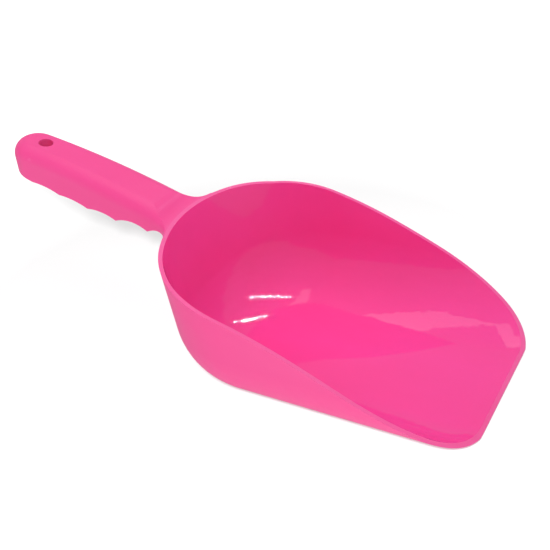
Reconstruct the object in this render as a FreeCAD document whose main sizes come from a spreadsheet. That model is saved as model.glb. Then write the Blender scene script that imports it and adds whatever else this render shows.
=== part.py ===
import FreeCAD, Part
import math
import os
import Sketcher

# Feed scoop: one polypropylene moulding, millimetres, +Z up.
# Origin under the middle of the whole scoop on the floor; +X towards the pouring lip,
# the handle runs towards -X.  The bowl is a drafted shell; the handle is an inverted
# channel moulded on to the bowl's back wall, stiffened inside by thin webs.

doc = FreeCAD.newDocument("feed_scoop")

# ---------------------------------------------------------------- sizes
SIZES = [
    ("wall", 2.4, "moulded wall thickness"),
    ("lip_x", 160.0, "front edge of the lip"),
    ("floor_half", 71.2, "half width of the sharp floor outline at the origin"),
    ("floor_back", 28.6, "back of the sharp floor outline behind the origin"),
    ("floor_back_radius", 110.0, "plan radius of the back at floor level"),
    ("floor_shoulder", 52.0, "plan radius of the two back corners at floor level"),
    ("side_draft", 0.071, "outward lean of the side walls, mm per mm"),
    ("back_draft", 0.153, "outward lean of the back wall, mm per mm"),
    ("block_top", 90.0, "height of the upper outline"),
    ("top_back_radius", 96.0, "plan radius of the back at the upper outline"),
    ("top_shoulder", 66.0, "plan radius of the back corners at the upper outline"),
    ("flare", 1.95, "outward angle of each side wall in plan, degrees"),
    ("block_front", 172.0, "front of the block before the lip is cut"),
    ("bottom_round", 44.5, "outside radius between walls and floor"),
    ("ramp_start", 139.0, "where the floor starts to lift towards the lip"),
    ("ramp_radius", 82.0, "side view radius of the lifted floor"),
    ("kink_x", 12.7, "rim corner behind the origin"),
    ("kink_z", 76.2, "height of the rim corner"),
    ("rim_rise", 0.248, "rise of the rim behind the corner, mm per mm"),
    ("rim_radius_back", 278.0, "side view radius of the rim next to the corner"),
    ("rim_radius_front", 660.0, "side view radius of the rim next to the lip"),
    ("rim_centre_x", 47.5, "centre of the first rim arc behind the origin"),
    ("lip_z", 3.3, "height of the lip edge"),
    ("neck_x", 28.0, "inner end of the handle's top line, inside the bowl"),
    ("neck_z", 80.8, "height of that inner end"),
    ("landing_x", 41.0, "where the handle's top reaches the plane of the rim"),
    ("landing_radius", 17.0, "side view radius of the hollow curve down to the rim"),
    ("roll_x", 60.0, "where the handle's top starts to roll down to the rim"),
    ("roll_z", 93.2, "height there"),
    ("roll_radius", 32.0, "side view radius of that roll"),
    ("grip_x", 56.0, "where the neck arc meets the grip arc"),
    ("grip_z", 91.6, "height there"),
    ("grip_radius", 650.0, "side view radius of the grip's top"),
    ("end_x", 160.0, "end of the handle"),
    ("end_over", 6.0, "the side view runs past the end by this much"),
    ("end_z", 121.4, "height of the side view's top line there"),
    ("end_low_z", 102.6, "height of the side view's lower line there"),
    ("ridge_1_x", 57.0, "first ridge between finger grooves"),
    ("ridge_1_z", 75.6, "its height"),
    ("ridge_2_x", 80.0, "second ridge"),
    ("ridge_2_z", 78.6, "its height"),
    ("ridge_3_x", 101.0, "third ridge"),
    ("ridge_3_z", 83.1, "its height"),
    ("ridge_4_x", 122.0, "fourth ridge"),
    ("ridge_4_z", 89.0, "its height"),
    ("ridge_5_x", 142.0, "fifth ridge"),
    ("ridge_5_z", 94.6, "its height"),
    ("heel_x", 36.0, "lower edge of the handle inside the bowl wall"),
    ("heel_z", 75.5, "its height"),
    ("groove_1_radius", 24.0, "groove between the bowl and the first ridge"),
    ("groove_2_radius", 24.0, "groove between ridges one and two"),
    ("groove_3_radius", 34.0, "groove between ridges two and three"),
    ("groove_4_radius", 52.0, "groove between ridges three and four"),
    ("groove_5_radius", 52.0, "groove between ridges four and five"),
    ("grip_end_half", 14.9, "half width of the grip at its round end"),
    ("grip_neck_half", 17.0, "half width of the grip at the start of the flare"),
    ("flare_x", 53.5, "where the flare starts"),
    ("flare_end", 37.3, "inner end of the flare, behind the bowl's rim"),
    ("flare_radius", 18.0, "plan radius of the flare into the bowl"),
    ("grip_edge", 9.0, "rounding along the grip's top edges"),
    ("horn_edge", 1.6, "rounding where the flare meets the rim"),
    ("hole_x", 137.4, "centre of the hanging hole"),
    ("hole_radius", 4.5, "hanging hole"),
    ("boss_radius", 7.4, "tube round the hanging hole"),
    ("boss_low_z", 95.5, "lower end of the tube"),
    ("rib", 1.8, "thickness of the webs inside the handle"),
    ("rib_recess", 2.0, "webs end this far above the lower edge"),
]
V = {}
sheet = doc.addObject("Spreadsheet::Sheet", "Sizes")
for row, (alias, value, note) in enumerate(SIZES, 1):
    sheet.set("A%d" % row, alias)
    sheet.set("B%d" % row, str(value))
    sheet.set("C%d" % row, note)
    sheet.setAlias("B%d" % row, alias)
    V[alias] = value
doc.recompute()


# ---------------------------------------------------------------- helpers
def vec(x, y, z=0.0):
    return FreeCAD.Vector(x, y, z)


def origin_plane(body, role):
    for item in body.Origin.OriginFeatures:
        if item.Role == role:
            return item
    raise RuntimeError("no " + role)


def new_sketch(body, name, role):
    sketch = body.newObject("Sketcher::SketchObject", name)
    sketch.AttachmentSupport = (origin_plane(body, role), [""])
    sketch.MapMode = "FlatFace"
    return sketch


def bind(sketch, name, kind, args, value, expression):
    """Add one named dimension and drive it from the sheet."""
    index = sketch.addConstraint(Sketcher.Constraint(kind, *args, value))
    sketch.renameConstraint(index, name)
    sketch.setExpression("Constraints." + name, expression)


def place(sketch, name, geo, pos, x, y, x_expr, y_expr):
    """Fix one point of a sketch by its two distances from the origin."""
    for axis, value, expr in (("X", x, x_expr), ("Y", y, y_expr)):
        bind(sketch, name + axis.lower(), "Distance" + axis, (-1, 1, geo, pos), value, expr)


def arc_between(a, b, radius, bulge):
    """Arc from a to b; bulge +1 bows to the left of a->b, -1 to the right."""
    ax, ay = a
    bx, by = b
    chord = math.hypot(bx - ax, by - ay)
    rise = math.sqrt(radius ** 2 - (chord / 2) ** 2)
    nx, ny = -(by - ay) / chord, (bx - ax) / chord
    cx = (ax + bx) / 2 - bulge * nx * rise
    cy = (ay + by) / 2 - bulge * ny * rise
    start = math.atan2(ay - cy, ax - cx)
    end = math.atan2(by - cy, bx - cx)
    if bulge > 0:
        start, end = end, start
    return Part.ArcOfCircle(Part.Circle(vec(cx, cy), vec(0, 0, 1), radius), start, end)


def line(a, b):
    return Part.LineSegment(vec(*a), vec(*b))


def pad(body, name, sketch, length, expression=None, symmetric=True):
    feature = body.newObject("PartDesign::Pad", name)
    feature.Profile = sketch
    feature.SideType = "Symmetric" if symmetric else "One side"
    feature.Length = length
    if expression:
        feature.setExpression("Length", expression)
    return feature


def pocket(body, name, sketch):
    feature = body.newObject("PartDesign::Pocket", name)
    feature.Profile = sketch
    feature.Type = "ThroughAll"
    feature.SideType = "Symmetric"
    return feature


# ---------------------------------------------------------------- bowl
def outline(body, name, level_z, level_expr, sizes, exprs, front, front_expr):
    """Plan outline of the bowl: back arc, two shoulders, two flared sides, front."""
    half, back, back_r, shoulder = sizes
    slope = math.radians(V["flare"])
    nx, ny = -math.sin(slope), math.cos(slope)
    cbx = back_r - back
    reach = back_r - shoulder
    theta = slope + math.pi - math.asin((half - shoulder - nx * cbx) / reach)
    csx, csy = cbx + reach * math.cos(theta), reach * math.sin(theta)
    tx, ty = csx + shoulder * nx, csy + shoulder * ny
    fy = ty + (front - tx) * math.tan(slope)
    normal = math.pi / 2 + slope
    sketch = new_sketch(body, name, "XY_Plane")
    sketch.AttachmentOffset = FreeCAD.Placement(vec(0, 0, level_z), FreeCAD.Rotation())
    sketch.setExpression("AttachmentOffset.Base.z", level_expr)
    up = vec(0, 0, 1)
    sketch.addGeometry([
        Part.ArcOfCircle(Part.Circle(vec(cbx, 0), up, back_r), theta, 2 * math.pi - theta),
        Part.ArcOfCircle(Part.Circle(vec(csx, csy), up, shoulder), normal, theta),
        line((tx, ty), (front, fy)),
        line((front, fy), (front, -fy)),
        line((front, -fy), (tx, -ty)),
        Part.ArcOfCircle(Part.Circle(vec(csx, -csy), up, shoulder),
                         2 * math.pi - theta, 2 * math.pi - normal),
    ], False)
    sketch.addConstraint([
        Sketcher.Constraint("Tangent", 0, 1, 1, 2),
        Sketcher.Constraint("Tangent", 1, 1, 2, 1),
        Sketcher.Constraint("Coincident", 2, 2, 3, 1),
        Sketcher.Constraint("Coincident", 3, 2, 4, 1),
        Sketcher.Constraint("Tangent", 4, 2, 5, 2),
        Sketcher.Constraint("Tangent", 5, 1, 0, 2),
        Sketcher.Constraint("Symmetric", 3, 1, 3, 2, -1),
        Sketcher.Constraint("PointOnObject", 0, 3, -1),
        Sketcher.Constraint("Equal", 1, 5),
        Sketcher.Constraint("Equal", 2, 4),
    ])
    bind(sketch, "back_radius", "Radius", (0,), back_r, exprs[2])
    bind(sketch, "shoulder", "Radius", (1,), shoulder, exprs[3])
    bind(sketch, "back", "DistanceX", (-1, 1, 0, 3), cbx, exprs[2] + " - (" + exprs[1] + ")")
    bind(sketch, "front", "DistanceX", (-1, 1, 3, 1), front, front_expr)
    bind(sketch, "half", "Distance", (-1, 1, 2), half, exprs[0])
    bind(sketch, "flare", "Angle", (2,), slope, "Sizes.flare * 1 deg")
    return sketch


def bowl_form(name, inset):
    """Solid form of the bowl: inset 0 is the outside, inset 1 the hollow one wall inside."""
    body = doc.addObject("PartDesign::Body", name)
    off = inset * V["wall"]
    minus = " - %d * Sizes.wall" % inset
    top = V["block_top"]
    front = V["block_front"] + 4 * inset
    front_expr = "Sizes.block_front + %d" % (4 * inset)
    low_expr = "%d * Sizes.wall" % inset
    low = outline(body, name + "_floor_outline", off, low_expr,
                  (V["floor_half"] - off, V["floor_back"] - off,
                   V["floor_back_radius"] - off, V["floor_shoulder"] - off),
                  ("Sizes.floor_half" + minus, "Sizes.floor_back" + minus,
                   "Sizes.floor_back_radius" + minus, "Sizes.floor_shoulder" + minus),
                  front, front_expr)
    high = outline(body, name + "_upper_outline", top, "Sizes.block_top",
                   (V["floor_half"] + V["side_draft"] * top - off,
                    V["floor_back"] + V["back_draft"] * top - off,
                    V["top_back_radius"] - off, V["top_shoulder"] - off),
                   ("Sizes.floor_half + Sizes.side_draft * Sizes.block_top" + minus,
                    "Sizes.floor_back + Sizes.back_draft * Sizes.block_top" + minus,
                    "Sizes.top_back_radius" + minus, "Sizes.top_shoulder" + minus),
                   front, front_expr)
    walls = body.newObject("PartDesign::AdditiveLoft", name + "_walls")
    walls.Profile = low
    walls.Sections = [high]
    walls.Ruled = True
    doc.recompute()

    # the floor lifts a little just behind the lip
    start, centre, far = V["ramp_start"], V["ramp_radius"], front + 8
    radius = centre - off
    turn = math.asin((far - start) / radius)
    rise = centre - radius * math.cos(turn)
    ramp = new_sketch(body, name + "_lip_lift", "XZ_Plane")
    ramp.addGeometry([
        Part.ArcOfCircle(Part.Circle(vec(start, centre), vec(0, 0, 1), radius),
                         -math.pi / 2, -math.pi / 2 + turn),
        line((far, rise), (far, off)),
        line((far, off), (start, off)),
    ], False)
    ramp.addConstraint([
        Sketcher.Constraint("Coincident", 0, 2, 1, 1),
        Sketcher.Constraint("Coincident", 1, 2, 2, 1),
        Sketcher.Constraint("Tangent", 2, 2, 0, 1),
        Sketcher.Constraint("Horizontal", 2),
        Sketcher.Constraint("Vertical", 1),
    ])
    bind(ramp, "start", "DistanceX", (-1, 1, 0, 3), start, "Sizes.ramp_start")
    bind(ramp, "centre", "DistanceY", (-1, 1, 0, 3), centre, "Sizes.ramp_radius")
    bind(ramp, "radius", "Radius", (0,), radius, "Sizes.ramp_radius" + minus)
    bind(ramp, "far", "DistanceX", (-1, 1, 1, 2), far, front_expr + " + 8")
    lift = pocket(body, name + "_lift", ramp)
    doc.recompute()

    belly = body.newObject("PartDesign::Fillet", name + "_belly")
    belly.Base = (lift, edges_where(lift.Shape, lambda edge: on_floor(edge, off, front)))
    belly.Radius = V["bottom_round"] - off
    belly.setExpression("Radius", "Sizes.bottom_round" + minus)
    body.Tip = belly
    doc.recompute()
    return body


def edges_where(shape, test):
    return ["Edge%d" % (i + 1) for i, edge in enumerate(shape.Edges) if test(edge)]


def middle(edge):
    return edge.valueAt((edge.FirstParameter + edge.LastParameter) / 2)


def on_floor(edge, floor_z, front):
    """The chain of edges where the floor meets the back and the side walls."""
    point = middle(edge)
    ends = [vertex.Point for vertex in edge.Vertexes]
    across = abs(ends[0].y - ends[-1].y) > 2 and abs(ends[0].x - ends[-1].x) < 0.01
    if point.x > front - 1:
        return False
    return point.z < floor_z + 9 and (point.x < 0 or not across)


bowl_block = bowl_form("bowl_block", 0)
bowl_hollow = bowl_form("bowl_hollow", 1)


def rim_arcs(start, end, radius_a, radius_b, centre_x):
    """Two tangent arcs from start to end; the first one's centre x is given."""
    ax, az = start
    bx, bz = end
    caz = az - math.sqrt(radius_a ** 2 - (ax - centre_x) ** 2)
    dx, dz = bx - centre_x, bz - caz
    span = math.hypot(dx, dz)
    k = radius_a - radius_b
    swing = math.acos((span ** 2 + k ** 2 - radius_b ** 2) / (2 * k * span))
    join = math.atan2(dz, dx) + swing
    cbx, cbz = centre_x + k * math.cos(join), caz + k * math.sin(join)
    first = Part.ArcOfCircle(Part.Circle(vec(centre_x, caz), vec(0, 0, 1), radius_a),
                             join, math.atan2(az - caz, ax - centre_x))
    second = Part.ArcOfCircle(Part.Circle(vec(cbx, cbz), vec(0, 0, 1), radius_b),
                              math.atan2(bz - cbz, bx - cbx), join)
    return first, second


rim_tool = doc.addObject("PartDesign::Body", "rim_tool")
rim = new_sketch(rim_tool, "rim_line", "XZ_Plane")
kink = (-V["kink_x"], V["kink_z"])
lip = (V["lip_x"], V["lip_z"])
behind = 60.0
above = 120.0
tail = (kink[0] - behind, kink[1] + behind * V["rim_rise"])
ahead = V["block_front"] + 10
arc_a, arc_b = rim_arcs(kink, lip, V["rim_radius_back"], V["rim_radius_front"],
                        -V["rim_centre_x"])
rim.addGeometry([
    arc_a,
    arc_b,
    line(lip, (lip[0], -20)),
    line((lip[0], -20), (ahead, -20)),
    line((ahead, -20), (ahead, above)),
    line((ahead, above), (tail[0], above)),
    line((tail[0], above), tail),
    line(tail, kink),
], False)
rim.addConstraint([
    Sketcher.Constraint("Tangent", 0, 1, 1, 2),
    Sketcher.Constraint("Coincident", 1, 1, 2, 1),
    Sketcher.Constraint("Coincident", 2, 2, 3, 1),
    Sketcher.Constraint("Coincident", 3, 2, 4, 1),
    Sketcher.Constraint("Coincident", 4, 2, 5, 1),
    Sketcher.Constraint("Coincident", 5, 2, 6, 1),
    Sketcher.Constraint("Coincident", 6, 2, 7, 1),
    Sketcher.Constraint("Coincident", 7, 2, 0, 2),
    Sketcher.Constraint("Vertical", 2),
    Sketcher.Constraint("Horizontal", 3),
    Sketcher.Constraint("Vertical", 4),
    Sketcher.Constraint("Horizontal", 5),
    Sketcher.Constraint("Vertical", 6),
])
place(rim, "kink_", 0, 2, kink[0], kink[1], "-Sizes.kink_x", "Sizes.kink_z")
place(rim, "lip_", 1, 1, lip[0], lip[1], "Sizes.lip_x", "Sizes.lip_z")
place(rim, "tail_", 6, 2, tail[0], tail[1],
      "-Sizes.kink_x - 60", "Sizes.kink_z + 60 * Sizes.rim_rise")
place(rim, "corner_", 4, 2, ahead, above, "Sizes.block_front + 10", "120")
bind(rim, "below", "DistanceY", (-1, 1, 2, 2), -20.0, "-20")
bind(rim, "radius_back", "Radius", (0,), V["rim_radius_back"], "Sizes.rim_radius_back")
bind(rim, "radius_front", "Radius", (1,), V["rim_radius_front"], "Sizes.rim_radius_front")
bind(rim, "centre", "DistanceX", (-1, 1, 0, 3), -V["rim_centre_x"], "-Sizes.rim_centre_x")
pad(rim_tool, "above_rim", rim, 240.0)
doc.recompute()


def cut(name, base, tool):
    feature = doc.addObject("Part::Cut", name)
    feature.Base = base
    feature.Tool = tool
    doc.recompute()
    return feature


def common(name, base, tool):
    feature = doc.addObject("Part::Common", name)
    feature.Base = base
    feature.Tool = tool
    doc.recompute()
    return feature


bowl_shell = cut("bowl_shell", bowl_block, bowl_hollow)
bowl = cut("bowl_trimmed", bowl_shell, rim_tool)


# ---------------------------------------------------------------- handle
def top_line(inner_x, inset):
    """Neck arc and grip arc of the handle's top, tangent where they meet."""
    off = inset * V["wall"]
    inner = vec(-V["neck_x"], V["neck_z"])
    join = vec(-V["grip_x"], V["grip_z"])
    end = vec(-V["end_x"] - V["end_over"], V["end_z"])
    grip = arc_between((join.x, join.y), (end.x, end.y), V["grip_radius"], -1)
    towards = (grip.Center - join).normalize()
    reach = inner - join
    neck_r = reach.dot(reach) / (2 * reach.dot(towards))
    neck_c = join + towards * neck_r
    new_join = join + towards * off
    grip_r = V["grip_radius"] - off
    end_x = end.x
    new_end = vec(end_x, grip.Center.y + math.sqrt(grip_r ** 2 - (end_x - grip.Center.x) ** 2))
    neck_r -= off
    new_inner = vec(inner_x, neck_c.y + math.sqrt(neck_r ** 2 - (inner_x - neck_c.x) ** 2))
    angles = [math.atan2(p.y - c.y, p.x - c.x) for p, c in
              ((new_inner, neck_c), (new_join, neck_c), (new_join, grip.Center),
               (new_end, grip.Center))]
    up = vec(0, 0, 1)
    neck = Part.ArcOfCircle(Part.Circle(neck_c, up, neck_r), angles[0], angles[1])
    grip = Part.ArcOfCircle(Part.Circle(grip.Center, up, grip_r), angles[2], angles[3])
    return neck, grip, new_inner, new_end


def chain(sketch, first, last, smooth=(), closed=True):
    """Join every stretch of an outline to the next one, end to end.

    The stretches listed in smooth run on tangentially into the one after them."""
    order = list(range(first, last + 1))
    starts = {}
    for here, after in zip(order, order[1:] + (order[:1] if closed else [])):
        for pos in (1, 2):
            for other in (1, 2):
                gap = sketch.getPoint(here, pos) - sketch.getPoint(after, other)
                if gap.Length < 1e-4:
                    kind = "Tangent" if here in smooth else "Coincident"
                    sketch.addConstraint(
                        Sketcher.Constraint(kind, here, pos, after, other))
                    starts[after] = other
    return starts


def pin(sketch, index, pos, name, x_expr, y_expr):
    point = sketch.getPoint(index, pos)
    place(sketch, name, index, pos, point.x, point.y, x_expr, y_expr)


def side_view(body):
    """Outside of the handle from the side: rolled top, plain end, grooved lower edge."""
    sketch = new_sketch(body, "side_view", "XZ_Plane")
    neck, grip, inner, end = top_line(-V["neck_x"], 0)
    inner, end = (inner.x, inner.y), (end.x, end.y)
    points = [(end[0], V["end_low_z"])]
    points += [(-V["ridge_%d_x" % i], V["ridge_%d_z" % i]) for i in (5, 4, 3, 2, 1)]
    points += [(-V["heel_x"], V["heel_z"])]
    shapes = [neck, grip, line(end, points[0]), line(points[0], points[1])]
    for i in range(1, 6):
        shapes.append(arc_between(points[i], points[i + 1], V["groove_%d_radius" % (6 - i)], 1))
    shapes.append(line(points[6], inner))
    sketch.addGeometry(shapes, False)
    starts = chain(sketch, 0, len(shapes) - 1, smooth=(0,))
    pin(sketch, 0, starts[0], "inner_", "-Sizes.neck_x", "Sizes.neck_z")
    pin(sketch, 1, starts[1], "join_", "-Sizes.grip_x", "Sizes.grip_z")
    pin(sketch, 2, starts[2], "end_", "-Sizes.end_x - Sizes.end_over", "Sizes.end_z")
    pin(sketch, 3, starts[3], "end_low_",
        "-Sizes.end_x - Sizes.end_over", "Sizes.end_low_z")
    for index, ridge in zip(range(4, 9), (5, 4, 3, 2, 1)):
        pin(sketch, index, starts[index], "ridge_%d_" % ridge,
            "-Sizes.ridge_%d_x" % ridge, "Sizes.ridge_%d_z" % ridge)
        bind(sketch, "groove_%d" % ridge, "Radius", (index,),
             V["groove_%d_radius" % ridge], "Sizes.groove_%d_radius" % ridge)
    pin(sketch, 9, starts[9], "heel_", "-Sizes.heel_x", "Sizes.heel_z")
    bind(sketch, "grip_radius", "Radius", (1,), V["grip_radius"], "Sizes.grip_radius")
    return sketch


def hollow_side_view(body):
    """The channel inside the handle: one wall under the top, open below and to the bowl."""
    sketch = new_sketch(body, "hollow_side_view", "XZ_Plane")
    guide_neck, guide_grip, inner, end = top_line(-V["neck_x"], 0)
    sketch.addGeometry([guide_neck, guide_grip], True)
    neck, grip, inner, end = top_line(-V["neck_x"], 1)
    low = 50.0
    sketch.addGeometry([
        neck,
        grip,
        line((end.x, end.y), (end.x, low)),
        line((end.x, low), (inner.x, low)),
        line((inner.x, low), (inner.x, inner.y)),
    ], False)
    guide = chain(sketch, 0, 1, smooth=(0,), closed=False)
    starts = chain(sketch, 2, 6, smooth=(2,))
    sketch.addConstraint([
        Sketcher.Constraint("Coincident", 2, 3, 0, 3),
        Sketcher.Constraint("Coincident", 3, 3, 1, 3),
        Sketcher.Constraint("Vertical", 4),
        Sketcher.Constraint("Horizontal", 5),
        Sketcher.Constraint("Vertical", 6),
    ])
    pin(sketch, 0, 1, "guide_inner_", "-Sizes.neck_x", "Sizes.neck_z")
    pin(sketch, 1, guide[1], "guide_join_", "-Sizes.grip_x", "Sizes.grip_z")
    pin(sketch, 1, 3 - guide[1], "guide_end_", "-Sizes.end_x - Sizes.end_over", "Sizes.end_z")
    bind(sketch, "guide_radius", "Radius", (1,), V["grip_radius"], "Sizes.grip_radius")
    bind(sketch, "radius", "Radius", (3,), V["grip_radius"] - V["wall"],
         "Sizes.grip_radius - Sizes.wall")
    bind(sketch, "inner_x", "DistanceX", (-1, 1, 2, starts[2]), inner.x, "-Sizes.neck_x")
    bind(sketch, "end_x", "DistanceX", (-1, 1, 4, 1), end.x,
         "-Sizes.end_x - Sizes.end_over")
    bind(sketch, "low", "DistanceY", (-1, 1, 5, 1), low, "50")
    return sketch


def edge_names(shape, points, tolerance=0.05):
    """Edges of a shape that pass through the given points, in the same order."""
    names = []
    for point in points:
        probe = Part.Vertex(point)
        for index, edge in enumerate(shape.Edges):
            if probe.distToShape(edge)[0] < tolerance:
                names.append(index + 1)
                break
    return names


def top_z(x, inset=0):
    """Height of the handle's top line at x."""
    neck, grip, inner, end = top_line(-V["neck_x"], inset)
    arc = grip if x < -V["grip_x"] else neck
    return arc.Center.y + math.sqrt(arc.Radius ** 2 - (x - arc.Center.x) ** 2)


def grip_sides():
    """Tangent points of the straight tapered side with the round end and the flare."""
    end_r, neck_half = V["grip_end_half"], V["grip_neck_half"]
    cx = -V["end_x"] + end_r
    run = -V["flare_x"] - cx
    slope = math.asin((neck_half - end_r) / run)
    for _ in range(20):
        slope = math.atan((neck_half - end_r / math.cos(slope)) / run)
    a = (cx - end_r * math.sin(slope), end_r * math.cos(slope))
    b = (-V["flare_x"], neck_half)
    return cx, slope, a, b


def plan_view(body, name, inset):
    """Handle outline from above, cut away outside it.  The outer one flares to the bowl."""
    off = inset * V["wall"]
    cx, slope, a, b = grip_sides()
    normal = (-math.sin(slope), math.cos(slope))
    end_r = V["grip_end_half"] - off
    a = (a[0] - off * normal[0], a[1] - off * normal[1])
    b = (b[0] - off * normal[0], b[1] - off * normal[1])
    sketch = new_sketch(body, name, "XY_Plane")
    up = vec(0, 0, 1)
    top = math.pi / 2 + slope
    arcs = Part.ArcOfCircle(Part.Circle(vec(cx, 0), up, end_r), top, 2 * math.pi - top)
    shapes = [arcs]
    inside = -V["neck_x"] + 1.0
    if inset:
        far = b[1] + (inside - b[0]) * math.tan(slope)
        shapes += [line(a, (inside, far)), line((inside, far), (inside, -far)),
                   line((inside, -far), (a[0], -a[1]))]
    else:
        r = V["flare_radius"]
        fx, fy = b[0] + r * normal[0], b[1] + r * normal[1]
        first = -math.pi / 2 + slope
        stop = math.asin((-V["flare_end"] - fx) / r) - math.pi / 2
        e = (-V["flare_end"], fy + r * math.sin(stop))
        shapes += [
            line(a, b),
            Part.ArcOfCircle(Part.Circle(vec(fx, fy), up, r), first, stop),
            line(e, (e[0], -e[1])),
            Part.ArcOfCircle(Part.Circle(vec(fx, -fy), up, r), -stop, -first),
            line((b[0], -b[1]), (a[0], -a[1])),
        ]
    sketch.addGeometry(shapes, False)
    count = len(shapes)
    last = count - 1
    chain(sketch, 0, last, smooth=(0, last) if inset else (0, 1, 4, last))
    if inset:
        sketch.addConstraint([
            Sketcher.Constraint("Symmetric", 2, 1, 2, 2, -1),
            Sketcher.Constraint("PointOnObject", 0, 3, -1),
        ])
        bind(sketch, "inside", "DistanceX", (-1, 1, 2, 1), inside, "-Sizes.neck_x + 1")
    else:
        sketch.addConstraint([
            Sketcher.Constraint("Symmetric", 1, 2, 5, 1, -1),
            Sketcher.Constraint("PointOnObject", 0, 3, -1),
            Sketcher.Constraint("Equal", 2, 4),
            Sketcher.Constraint("Vertical", 3),
        ])
        bind(sketch, "flare_end", "DistanceX", (-1, 1, 3, 1), e[0], "-Sizes.flare_end")
        bind(sketch, "flare_radius", "Radius", (2,), r, "Sizes.flare_radius")
        bind(sketch, "flare_x", "DistanceX", (-1, 1, 1, 2), b[0], "-Sizes.flare_x")
        bind(sketch, "neck_half", "DistanceY", (-1, 1, 1, 2), b[1], "Sizes.grip_neck_half")
    minus = " - %d * Sizes.wall" % inset
    bind(sketch, "end_radius", "Radius", (0,), end_r, "Sizes.grip_end_half" + minus)
    bind(sketch, "end_centre", "DistanceX", (-1, 1, 0, 3), cx,
         "-Sizes.end_x + Sizes.grip_end_half")
    if inset:
        bind(sketch, "neck_half", "DistanceY", (-1, 1, 1, 2), far,
             "Sizes.grip_neck_half - Sizes.wall + %.4f" % (far - b[1]))
    # the surrounding frame that is cut away
    box = [(-V["end_x"] - 20, 60), (10, 60), (10, -60), (-V["end_x"] - 20, -60)]
    for i in range(4):
        sketch.addGeometry(line(box[i], box[(i + 1) % 4]), False)
    for i in range(4):
        sketch.addConstraint(Sketcher.Constraint("Block", count + i))
    return sketch


def handle_form(name, inset):
    body = doc.addObject("PartDesign::Body", name)
    profile = hollow_side_view(body) if inset else side_view(body)
    pad(body, name + "_slab", profile, 90.0)
    doc.recompute()
    outline_sketch = plan_view(body, name + "_plan", inset)
    doc.recompute()
    pocket(body, name + "_sides", outline_sketch)
    doc.recompute()
    return body


handle_block = handle_form("handle_block", 0)
handle_hollow = handle_form("handle_hollow", 1)



def rounded(name, base, edges):
    """Part fillet; each entry is (point on the edge, radius at its grip end, at its far end)."""
    table = []
    for point, near, far in edges:
        index = edge_names(base.Shape, [point])[0]
        edge = base.Shape.Edges[index - 1]
        first = edge.valueAt(edge.FirstParameter)
        last = edge.valueAt(edge.LastParameter)
        table.append((index, near, far) if first.x < last.x else (index, far, near))
    feature = doc.addObject("Part::Fillet", name)
    feature.Base = base
    feature.Edges = table
    doc.recompute()
    return feature


# the big rounding runs round the whole top edge and fades out along the two flares
cx, slope, side_a, side_b = grip_sides()
middle_turn = math.radians(30) - math.pi / 2
flare_mid = (side_b[0] + V["flare_radius"] * (math.cos(middle_turn) - math.sin(slope)),
             side_b[1] + V["flare_radius"] * (math.sin(middle_turn) + math.cos(slope)))
flare_edges = []
for sign in (1, -1):
    point = vec(flare_mid[0], sign * flare_mid[1], top_z(flare_mid[0]))
    flare_edges.append((point, V["grip_edge"], V["horn_edge"]))
handle_round = rounded("handle_round", handle_block, flare_edges)

hollow_edge = V["grip_edge"] - V["wall"]
end_point = vec(-V["end_x"] + V["wall"], 0, top_z(-V["end_x"] + V["wall"], 1))
hollow_round = rounded("hollow_round", handle_hollow, [(end_point, hollow_edge, hollow_edge)])


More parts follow.
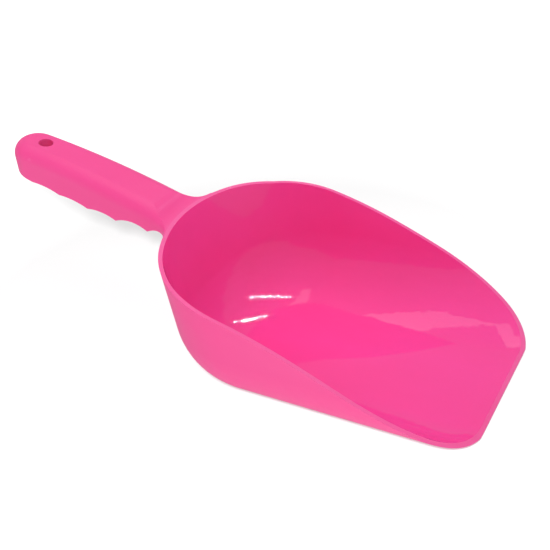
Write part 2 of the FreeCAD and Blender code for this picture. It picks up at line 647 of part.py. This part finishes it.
def landing(name, drop):
    """Everything above the neck: the plane of the rim, a hollow curve and a roll up to the grip.

    drop lowers it, for the channel under the skin."""
    body = doc.addObject("PartDesign::Body", name)
    sketch = new_sketch(body, name + "_line", "XZ_Plane")
    fall = drop * V["wall"] * 1.2
    low = -V["neck_x"], V["kink_z"] + V["rim_rise"] * (V["neck_x"] - V["kink_x"]) - fall
    land = -V["landing_x"], V["kink_z"] + V["rim_rise"] * (V["landing_x"] - V["kink_x"]) - fall
    roll = -V["roll_x"], V["roll_z"] - fall
    r1, r2 = V["landing_radius"], V["roll_radius"]
    along = math.atan(V["rim_rise"])
    c1 = land[0] + r1 * math.sin(along), land[1] + r1 * math.cos(along)
    reach = math.hypot(roll[0] - c1[0], roll[1] - c1[1])
    turn = math.acos(((r1 + r2) ** 2 + reach ** 2 - r2 ** 2) / (2 * (r1 + r2) * reach))
    heading = math.atan2(roll[1] - c1[1], roll[0] - c1[0])
    c2 = min(((c1[0] + (r1 + r2) * math.cos(heading + sign * turn),
               c1[1] + (r1 + r2) * math.sin(heading + sign * turn)) for sign in (1, -1)),
             key=lambda point: point[1])
    touch = c1[0] + (c2[0] - c1[0]) * r1 / (r1 + r2), c1[1] + (c2[1] - c1[1]) * r1 / (r1 + r2)
    up = vec(0, 0, 1)
    a1, a2 = [math.atan2(p[1] - c1[1], p[0] - c1[0]) for p in (touch, land)]
    b1, b2 = [math.atan2(p[1] - c2[1], p[0] - c2[0]) for p in (touch, roll)]
    top = 115.0
    sketch.addGeometry([
        line(low, land),
        Part.ArcOfCircle(Part.Circle(vec(*c1), up, r1), a1, a2),
        Part.ArcOfCircle(Part.Circle(vec(*c2), up, r2), b1, b2),
        line(roll, (roll[0], top)),
        line((roll[0], top), (low[0], top)),
        line((low[0], top), low),
    ], False)
    starts = chain(sketch, 0, 5, smooth=(0, 1))
    sketch.addConstraint([
        Sketcher.Constraint("Vertical", 3),
        Sketcher.Constraint("Horizontal", 4),
        Sketcher.Constraint("Vertical", 5),
    ])
    less = " - %d * Sizes.wall * 1.2" % drop
    rim_height = "Sizes.kink_z + Sizes.rim_rise * (Sizes.%s - Sizes.kink_x)" + less
    pin(sketch, 0, 1, "low_", "-Sizes.neck_x", rim_height % "neck_x")
    pin(sketch, 0, 2, "land_", "-Sizes.landing_x", rim_height % "landing_x")
    pin(sketch, 3, starts[3], "roll_", "-Sizes.roll_x", "Sizes.roll_z" + less)
    bind(sketch, "landing_radius", "Radius", (1,), r1, "Sizes.landing_radius")
    bind(sketch, "top", "DistanceY", (-1, 1, 5, 1), top, "115")
    pad(body, name + "_block", sketch, 90.0)
    doc.recompute()
    return body


landing_tool = landing("landing_tool", 0)
landing_low = landing("landing_low", 1)
handle_landed = cut("handle_landed", handle_round, landing_tool)
hollow_landed = cut("hollow_landed", hollow_round, landing_low)


def upright(name, x, radius, radius_expr):
    """Vertical cylinder on the centre line, as tall as the scoop."""
    rod = doc.addObject("Part::Cylinder", name)
    rod.Placement = FreeCAD.Placement(vec(x, 0, 0), FreeCAD.Rotation())
    rod.Height = 140.0
    rod.Radius = radius
    rod.setExpression("Radius", radius_expr)
    rod.setExpression("Placement.Base.x", "-Sizes.hole_x")
    return rod


def slab(name, size, corner, expressions):
    """Axis-parallel block; expressions drive its sizes and its corner."""
    block = doc.addObject("Part::Box", name)
    block.Length, block.Width, block.Height = size
    block.Placement = FreeCAD.Placement(vec(*corner), FreeCAD.Rotation())
    for key, expression in expressions.items():
        block.setExpression(key, expression)
    return block


hole = upright("hole_tool", -V["hole_x"], V["hole_radius"], "Sizes.hole_radius")
handle_skin = cut("handle_skin", handle_landed, hollow_landed)
handle_seated = cut("handle_seated", handle_skin, bowl_block)
handle = cut("handle_finished", handle_seated, hole)

# tube round the hanging hole, filling the channel from its lower end to the skin
tube = upright("tube_tool", -V["hole_x"], V["boss_radius"], "Sizes.boss_radius")
tube.Height = 60.0
tube.Placement.Base.z = V["boss_low_z"]
tube.setExpression("Placement.Base.z", "Sizes.boss_low_z")
tube_in_channel = common("tube_in_channel", tube, hollow_landed)
boss = cut("boss_finished", tube_in_channel, hole)

# cross webs under the ridges
webs = []
for number in (1, 2, 3, 4):
    ridge_x = -V["ridge_%d_x" % number]
    ridge_z = V["ridge_%d_z" % number]
    tool = slab("web_tool_%d" % number, (V["rib"], 60.0, 80.0),
                (ridge_x - V["rib"] / 2, -30.0, ridge_z + V["rib_recess"]),
                {"Length": "Sizes.rib",
                 "Placement.Base.x": "-Sizes.ridge_%d_x - Sizes.rib / 2" % number,
                 "Placement.Base.z": "Sizes.ridge_%d_z + Sizes.rib_recess" % number})
    webs.append(common("cross_web_form_%d" % number, tool, hollow_landed))

# centre web between the bowl's back wall and the first cross web
tool = slab("neck_web_tool",
            (V["ridge_1_x"] - V["rib"] / 2 - V["neck_x"], V["rib"], 60.0),
            (-V["ridge_1_x"] + V["rib"] / 2, -V["rib"] / 2, V["heel_z"] + 2 * V["rib_recess"]),
            {"Length": "Sizes.ridge_1_x - Sizes.rib / 2 - Sizes.neck_x",
             "Width": "Sizes.rib",
             "Placement.Base.x": "-Sizes.ridge_1_x + Sizes.rib / 2",
             "Placement.Base.y": "-Sizes.rib / 2",
             "Placement.Base.z": "Sizes.heel_z + 2 * Sizes.rib_recess"})
neck_web_long = common("neck_web_long", tool, hollow_landed)
neck_web = cut("neck_web_seated", neck_web_long, bowl_block)

nodes = {"bowl": bowl, "handle": handle, "hang_hole_tube": boss, "neck_web": neck_web}
for number, web in enumerate(webs, 1):
    nodes["cross_web_%d" % number] = web
for name, item in nodes.items():
    item.Label = name
doc.recompute()

# ---------------------------------------------------------------- checks and export
for item in doc.Objects:
    if "Invalid" in item.State or "Error" in item.State:
        raise RuntimeError("failed: " + item.Name)
os.makedirs("parts", exist_ok=True)
for name, item in nodes.items():
    if item.Shape.isNull() or not item.Shape.isValid():
        raise RuntimeError("bad shape: " + name)
    item.Shape.exportStep("parts/" + name + ".step")
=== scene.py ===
import math

import bmesh
import bpy
from mathutils import Matrix, Vector
from mathutils.bvhtree import BVHTree


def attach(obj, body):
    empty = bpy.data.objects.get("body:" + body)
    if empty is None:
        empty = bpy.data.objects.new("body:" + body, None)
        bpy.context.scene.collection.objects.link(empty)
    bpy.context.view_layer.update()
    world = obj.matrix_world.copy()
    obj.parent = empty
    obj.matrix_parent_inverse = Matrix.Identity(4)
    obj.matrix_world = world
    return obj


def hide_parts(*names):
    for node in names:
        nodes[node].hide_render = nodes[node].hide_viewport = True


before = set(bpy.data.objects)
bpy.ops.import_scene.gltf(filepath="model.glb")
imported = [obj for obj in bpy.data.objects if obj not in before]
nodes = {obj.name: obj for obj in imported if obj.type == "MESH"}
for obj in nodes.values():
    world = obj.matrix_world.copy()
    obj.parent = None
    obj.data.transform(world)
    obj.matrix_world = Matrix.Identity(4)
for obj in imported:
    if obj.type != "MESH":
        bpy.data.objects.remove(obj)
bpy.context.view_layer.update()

# ---------------------------------------------------------------- camera
AZIMUTH = math.radians(30.995)         # from -y round towards +x
ELEVATION = math.radians(32.582)
ROLL = math.radians(-6.197)
DISTANCE = 0.61616                     # from the target, metres
TARGET = Vector((0.01405, 0.00846, 0.04431))
LENS, SENSOR = 66.36, 36.0             # focal length and sensor width, millimetres
NEAREST = 0.01                         # the camera shows nothing closer than this, metres

back = Vector((math.sin(AZIMUTH) * math.cos(ELEVATION),
               -math.cos(AZIMUTH) * math.cos(ELEVATION),
               math.sin(ELEVATION)))
right = (-back).cross(Vector((0, 0, 1))).normalized()
up = right.cross(-back)
right_rolled = right * math.cos(ROLL) + up * math.sin(ROLL)
up_rolled = up * math.cos(ROLL) - right * math.sin(ROLL)
camera_place = TARGET + back * DISTANCE

camera_data = bpy.data.cameras.new("camera")
camera_data.sensor_width = SENSOR
camera_data.lens = LENS
camera_data.clip_start = NEAREST
camera = bpy.data.objects.new("camera", camera_data)
camera_turn = Matrix((right_rolled, up_rolled, back)).transposed().to_4x4()
camera.matrix_world = Matrix.Translation(camera_place) @ camera_turn
bpy.context.scene.collection.objects.link(camera)
bpy.context.scene.camera = camera

# ---------------------------------------------------------------- materials
PINK = (0.93, 0.072, 0.310, 1)         # the plastic as moulded
INSIDE_PAINTED_LIGHT_PINK = (0.97, 0.066, 0.350, 1)       # the same pink, brighter and purer: painted light that makes up for the shade inside the bowl
DEEP = (0.90, 0.056, 0.275, 1)         # where it is more densely coloured
PALE_MARKS_AND_RIM_HIGHLIGHT = (0.95, 0.125, 0.380, 1)        # paler and slightly dulled: the own colour of rubbed edges and specks, and a painted highlight on the rim

# how fine each noise is, in features per metre
FLOW = 22.0                            # flow marks of the moulding
SPECK = 900.0                          # pale specks in the colour
RUB = 140.0                            # how evenly the edges are rubbed
SCUFF = 700.0                          # thin scratches
SCUFF_AREA = 30.0                      # the patches that have scratches
SHEEN = 55.0                           # slow changes of the gloss

ALONG = (0.35, 1.0, 1.0)               # flow marks are stretched along the scoop
SCRATCHED = (0.10, 1.0, 1.0)           # and scratches more so, at a slant
SLANT = (0.3, 0.2, 0.5)
WAVE_HEIGHT = 0.00012                  # slow waves of a cooled thin wall, metres
SCUFF_DEPTH = 0.000004                 # of a scratch, metres
SHEEN_SWING = 0.12                     # share by which roughness varies over a face
SCUFF_ROUGHNESS = 0.10                 # added on a scratch
WORN_ROUGHNESS = 0.15                  # added on a rubbed edge
SCATTER = 0.06                         # share of light that goes through the surface
SCATTER_REACH = 0.0025                 # and how far, metres
SCATTER_COLOUR = (1.0, 0.25, 0.45)
IOR = 1.49                             # polypropylene


class Graph:
    """Makes and joins the nodes of one material or world."""

    def __init__(self, owner):
        owner.use_nodes = True
        self.nodes = owner.node_tree.nodes
        self.links = owner.node_tree.links

    def make(self, kind, **settings):
        node = self.nodes.new(kind)
        for key, value in settings.items():
            if key in node.inputs:
                node.inputs[key].default_value = value
            else:
                setattr(node, key, value)
        return node

    def feed(self, socket, value):
        """Join another node's output to the socket, or set a plain value on it."""
        if isinstance(value, bpy.types.NodeSocket):
            self.links.new(value, socket)
        else:
            socket.default_value = value

    def place(self):
        return self.make("ShaderNodeTexCoord").outputs["Object"]

    def stretched(self, place, **settings):
        node = self.make("ShaderNodeMapping", **settings)
        self.feed(node.inputs["Vector"], place)
        return node.outputs["Vector"]

    def noise(self, place, scale, detail=3.0, roughness=0.55):
        node = self.make("ShaderNodeTexNoise", Scale=scale, Detail=detail, Roughness=roughness)
        self.feed(node.inputs["Vector"], place)
        return node.outputs["Fac"]

    def span(self, value, source, target):
        """Turn the range source, a pair of numbers, into the range target, and stop at its ends."""
        node = self.make("ShaderNodeMapRange")
        for key, number in zip(("From Min", "From Max", "To Min", "To Max"), source + target):
            node.inputs[key].default_value = number
        self.feed(node.inputs["Value"], value)
        return node.outputs["Result"]

    def sums(self, kind, first, second):
        node = self.make("ShaderNodeMath", operation=kind)
        self.feed(node.inputs[0], first)
        self.feed(node.inputs[1], second)
        return node.outputs[0]

    def blend(self, factor, first, second):
        node = self.make("ShaderNodeMix", data_type="RGBA")
        factor_at, first_at, second_at, result_at = 0, 6, 7, 2      # its sockets for colours
        self.feed(node.inputs[factor_at], factor)
        self.feed(node.inputs[first_at], first)
        self.feed(node.inputs[second_at], second)
        return node.outputs[result_at]


def rubbed_edges(graph, place):
    """How worn a place is: up to 0.6 on edges, and 0 on flat faces, whose pointiness is 0.5."""
    edge = graph.make("ShaderNodeNewGeometry").outputs["Pointiness"]
    return graph.sums("MULTIPLY", graph.span(edge, (0.52, 0.60), (0.0, 0.6)),
                      graph.span(graph.noise(place, RUB), (0.3, 0.7), (0.5, 1.0)))


def scuffed(graph, place):
    """1 on thin scratches, which come in patches, and 0 elsewhere."""
    scratches = graph.noise(graph.stretched(place, Rotation=SLANT, Scale=SCRATCHED), SCUFF, 2.0)
    return graph.sums("MULTIPLY", graph.span(scratches, (0.60, 0.75), (0.0, 1.0)),
                      graph.span(graph.noise(place, SCUFF_AREA), (0.45, 0.65), (0.0, 1.0)))


def colour(graph, place, pink, worn):
    """Pink with denser flow marks, pale specks and paler rubbed edges."""
    flow = graph.noise(graph.stretched(place, Scale=ALONG), FLOW, 4.0)
    shade = graph.blend(graph.span(flow, (0.35, 0.75), (0.0, 0.45)), pink, DEEP)
    speck = graph.noise(place, SPECK, 2.0)
    shade = graph.blend(graph.span(speck, (0.62, 0.80), (0.0, 0.25)), shade, PALE_MARKS_AND_RIM_HIGHLIGHT)
    return graph.blend(worn, shade, PALE_MARKS_AND_RIM_HIGHLIGHT)


def finish(graph, place, roughness, worn, scuffs):
    """The mould face's roughness, uneven, and higher where it is scratched or worn."""
    uneven = graph.span(graph.noise(place, SHEEN), (0.3, 0.7),
                        (roughness * (1 - SHEEN_SWING), roughness * (1 + SHEEN_SWING)))
    scratched = graph.sums("ADD", uneven, graph.sums("MULTIPLY", scuffs, SCUFF_ROUGHNESS))
    return graph.sums("ADD", scratched, graph.sums("MULTIPLY", worn, WORN_ROUGHNESS))


def relief(graph, place, grain, grain_height, wave, scuffs):
    """Height of the mould's grain, the slow waves and the scratches, in metres."""
    height = graph.sums("ADD",
                        graph.sums("MULTIPLY", graph.noise(place, grain), grain_height),
                        graph.sums("MULTIPLY", graph.noise(place, wave, 1.0), WAVE_HEIGHT))
    return graph.sums("SUBTRACT", height, graph.sums("MULTIPLY", scuffs, SCUFF_DEPTH))


def plastic(name, roughness, grain, grain_height, wave=18.0, pink=PINK):
    """Coloured polypropylene from a mould face of this roughness.

    grain and wave are in features per metre, and grain_height is in metres."""
    material = bpy.data.materials.new(name)
    graph = Graph(material)
    shader = graph.nodes["Principled BSDF"]
    shader.inputs["Specular IOR Level"].default_value = 0.5
    shader.inputs["IOR"].default_value = IOR
    shader.inputs["Subsurface Weight"].default_value = SCATTER
    shader.inputs["Subsurface Radius"].default_value = SCATTER_COLOUR
    shader.inputs["Subsurface Scale"].default_value = SCATTER_REACH
    place = graph.place()
    worn = rubbed_edges(graph, place)
    scuffs = scuffed(graph, place)
    bump = graph.make("ShaderNodeBump", Strength=1.0, Distance=1.0)
    graph.feed(bump.inputs["Height"], relief(graph, place, grain, grain_height, wave, scuffs))
    graph.feed(shader.inputs["Base Color"], colour(graph, place, pink, worn))
    graph.feed(shader.inputs["Roughness"], finish(graph, place, roughness, worn, scuffs))
    graph.feed(shader.inputs["Normal"], bump.outputs["Normal"])
    return material


satin = plastic("satin_plastic", 0.42, 1400.0, 0.000010)
# the inside of the bowl: glossy, and coloured brighter than the outside as painted light against
# its shade
gloss = plastic("gloss_plastic_painted_light", 0.035, 1400.0, 0.0000003, wave=22.0, pink=INSIDE_PAINTED_LIGHT_PINK)
# the rim: outside faces that point up, in a paler pink that is a painted highlight
rim = plastic("rim_painted_highlight", 0.36, 1400.0, 0.000006, pink=PALE_MARKS_AND_RIM_HIGHLIGHT)
ribs = plastic("rib_plastic", 0.38, 1100.0, 0.000010)

# ---------------------------------------------------------------- visible skins
SHARP = math.radians(35)               # a crease steeper than this is an edge of the mould
ROUND = 0.00035                        # how far such an edge is rounded, metres
SEAM = 0.0006                          # an edge this near to a neighbour runs on into it, metres
SAME_POINT = 1e-6                      # corners closer than this are one, metres
MIDDLE = Vector((0.040, 0.0, 0.020))   # a point inside the bowl, below its rim
LEVEL = 0.5                            # an outside face that points up more than this is rim, painted paler as a highlight


def surface_of(node):
    points = [vertex.co for vertex in node.data.vertices]
    return BVHTree.FromPolygons(points, [face.vertices for face in node.data.polygons])


def is_crease(edge):
    return len(edge.link_faces) == 2 and edge.calc_face_angle(0.0) >= SHARP


def free_creases(shape, neighbours):
    """The creases of the shape, apart from those that lie on a neighbour's surface."""
    surfaces = [surface_of(nodes[name]) for name in neighbours]
    creases = []
    for edge in filter(is_crease, shape.edges):
        centre = (edge.verts[0].co + edge.verts[1].co) / 2
        if all(surface.find_nearest(centre, SEAM)[0] is None for surface in surfaces):
            creases.append(edge)
    return creases


def skin(name, node, neighbours, materials, choose):
    """The node's shape with its moulded edges rounded, except where it runs on into a neighbour."""
    shape = bmesh.new()
    shape.from_mesh(node.data)
    bmesh.ops.remove_doubles(shape, verts=shape.verts, dist=SAME_POINT)
    shape.normal_update()
    for face in shape.faces:
        face.material_index = choose(face.calc_center_median(), face.normal)
    bmesh.ops.bevel(shape, geom=free_creases(shape, neighbours), offset=ROUND,
                    offset_type="OFFSET", segments=2, profile=0.5, clamp_overlap=True,
                    affect="EDGES")
    for face in shape.faces:
        face.smooth = True
    for edge in shape.edges:           # a crease left at a seam shades as one, without a smear
        edge.smooth = len(edge.link_faces) == 2 and not is_crease(edge)
    mesh = bpy.data.meshes.new(name)
    shape.to_mesh(mesh)
    shape.free()
    for material in materials:
        mesh.materials.append(material)
    piece = bpy.data.objects.new(name, mesh)
    bpy.context.scene.collection.objects.link(piece)
    piece.modifiers.new("even_normals", "WEIGHTED_NORMAL").keep_sharp = True
    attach(piece, "root")
    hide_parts(node.name)


def bowl_side(centre, normal):
    """Index of the bowl's material: 0 outside, 1 inside, painted brighter as light, 2 rim, painted
    paler as a highlight.
    """
    if normal.dot(centre - MIDDLE) < 0:
        return 1
    return 2 if normal.z > LEVEL else 0


def handle_side(centre, normal):
    """The handle is one material all over."""
    return 0


def dress_nodes():
    """Give every CAD node a plastic, also those that a skin stands for."""
    for name, node in nodes.items():
        node.data.materials.clear()
        node.data.materials.append(satin if name in ("bowl", "handle") else ribs)


skin("bowl_skin", nodes["bowl"], ["handle", "neck_web"], [satin, gloss, rim], bowl_side)
skin("handle_skin", nodes["handle"], [name for name in nodes if name != "handle"], [satin],
     handle_side)
dress_nodes()

# ---------------------------------------------------------------- stage
FLOOR_HALF = 6.0                       # half its side, metres
FLOOR_Z = -0.0002                      # just clear of the flat underside
FLOOR_WHITE = (0.30, 0.30, 0.30, 1)
FLOOR_GLOW = 0.47                      # it shines a little by itself, as lit acrylic does,
FULL_GLOW = 1.0                        # and is plain white further out:
GLOW_RISE = (0.20, 0.42)               # distances from the middle, metres
WORLD_LIGHT, WORLD_SEEN = 0.40, 1.0    # strength of the white that lights and that is seen
WHITE = (1, 1, 1, 1)


def make_floor():
    """A flat stage, which doesn't show in the gloss."""
    corners = [(x * FLOOR_HALF, y * FLOOR_HALF, FLOOR_Z)
               for x, y in ((-1, -1), (1, -1), (1, 1), (-1, 1))]
    mesh = bpy.data.meshes.new("floor")
    mesh.from_pydata(corners, [], [(0, 1, 2, 3)])
    mesh.materials.append(floor_paint())
    piece = bpy.data.objects.new("floor", mesh)
    bpy.context.scene.collection.objects.link(piece)
    piece.visible_glossy = False
    return piece


def floor_paint():
    """Matt white that shines a little, and is clear when seen from below."""
    material = bpy.data.materials.new("floor")
    graph = Graph(material)
    shader = graph.nodes["Principled BSDF"]
    shader.inputs["Base Color"].default_value = FLOOR_WHITE
    shader.inputs["Roughness"].default_value = 1.0
    shader.inputs["Specular IOR Level"].default_value = 0
    shader.inputs["Emission Color"].default_value = WHITE
    distance = graph.make("ShaderNodeVectorMath", operation="LENGTH")
    graph.feed(distance.inputs[0], graph.place())
    glow = graph.span(distance.outputs["Value"], GLOW_RISE, (FLOOR_GLOW, FULL_GLOW))
    graph.feed(shader.inputs["Emission Strength"], glow)
    sides = graph.make("ShaderNodeMixShader")
    below = graph.make("ShaderNodeNewGeometry").outputs["Backfacing"]
    clear = graph.make("ShaderNodeBsdfTransparent").outputs["BSDF"]
    for socket, value in zip(sides.inputs, (below, shader.outputs["BSDF"], clear)):
        graph.feed(socket, value)
    graph.feed(graph.nodes["Material Output"].inputs["Surface"], sides.outputs["Shader"])
    return material


def make_world():
    """White behind the object, and the same white but dimmer as light."""
    world = bpy.data.worlds.new("world")
    bpy.context.scene.world = world
    graph = Graph(world)
    background = graph.nodes["Background"]
    background.inputs["Color"].default_value = WHITE
    seen = graph.make("ShaderNodeLightPath").outputs["Is Camera Ray"]
    graph.feed(background.inputs["Strength"],
               graph.span(seen, (0.0, 1.0), (WORLD_LIGHT, WORLD_SEEN)))


# ---------------------------------------------------------------- lights
TENT = 0.5                             # height of the tent's lamps above the floor, metres
COUNT = 16                             # lamps in each row
LAMP = (0.007, 0.007)                  # size of one, metres
LAMP_RADIANCE, LAMP_BEAM = 1.1, 8.0    # W/m2/sr and degrees
NEAR_START, NEAR_LENGTH = 0.223, 0.413     # the near row's first x and its length along x, metres
NEAR_Y, BOW, BOW_X = 0.380, 2.7, -0.01     # its y at x = BOW_X, and how fast it bows away from it
STRIP = (0.46, 0.08)                   # size of the long soft panel, metres
STRIP_ALONG = (-0.17, 0.48, 0)         # the direction of its long side
STRIP_RADIANCE = 1.1


def area_light(name, place, aim, size, radiance, along=(1, 0, 0), beam=180.0):
    """Rectangular lamp at place that faces aim, its long side along a direction.

    radiance is that of a lamp with a full beam, and a narrower beam makes it brighter."""
    data = bpy.data.lights.new(name, "AREA")
    data.shape = "RECTANGLE"
    data.size, data.size_y = size
    data.energy = radiance * math.pi * size[0] * size[1]
    data.spread = math.radians(beam)
    facing = (Vector(place) - Vector(aim)).normalized()
    side = Vector(along)
    side = (side - facing * side.dot(facing)).normalized()
    turn = Matrix((side, facing.cross(side), facing)).transposed().to_4x4()
    light = bpy.data.objects.new(name, data)
    light.matrix_world = Matrix.Translation(place) @ turn
    bpy.context.scene.collection.objects.link(light)
    return light


def above(x, y):
    return Vector((x, y, TENT))


def wide_lamps(floor):
    """The lamps that light the scene; they don't show in the gloss."""
    before_target = TARGET + back * 1.4 - right * 0.35 + up * 0.25
    beside_camera = camera_place - right_rolled * 0.028 + up_rolled * 0.035
    top = area_light("top", place=(0.0, 0.1, 1.3), aim=(0.0, 0.0, 0.0), size=(1.4, 1.2),
                     radiance=2.1)
    front = area_light("front", before_target, TARGET, size=(0.5, 0.5), radiance=3.4)
    shadow = area_light("shadow", beside_camera, TARGET, size=(0.035, 0.035), radiance=2300.0)
    for lamp in (top, front, shadow):
        lamp.visible_glossy = False
    # the lamp beside the camera lights only the floor: its shadow lies close to the outline
    only_floor = bpy.data.collections.new("only_floor")
    only_floor.objects.link(floor)
    shadow.light_linking.receiver_collection = only_floor


def tent_lamps():
    """Two rows of small lamps and a strip, which light nothing matt and show in the gloss."""
    lamps = []
    far_start, far_end = above(0.413, 0.332), above(0.017, 0.126)
    far_aim, near_aim, strip_aim = (-0.004, 0.031, 0.009), (0.0, 0.022, 0.005), (0.1, 0.045, 0.0)
    for index in range(COUNT):
        share = index / (COUNT - 1)
        x = NEAR_START - NEAR_LENGTH * share
        near_place = above(x, NEAR_Y + BOW * (x - BOW_X) ** 2)
        lamps.append(area_light("lamp_far_%d" % index, far_start.lerp(far_end, share), far_aim,
                                LAMP, LAMP_RADIANCE, beam=LAMP_BEAM))
        lamps.append(area_light("lamp_near_%d" % index, near_place, near_aim, LAMP,
                                LAMP_RADIANCE, beam=LAMP_BEAM))
    lamps.append(area_light("strip", above(-0.065, 0.200), strip_aim, STRIP, STRIP_RADIANCE,
                            along=STRIP_ALONG))
    for lamp in lamps:
        lamp.visible_diffuse = False


wide_lamps(make_floor())
tent_lamps()
make_world()
bpy.context.scene.view_settings.view_transform = "Standard"
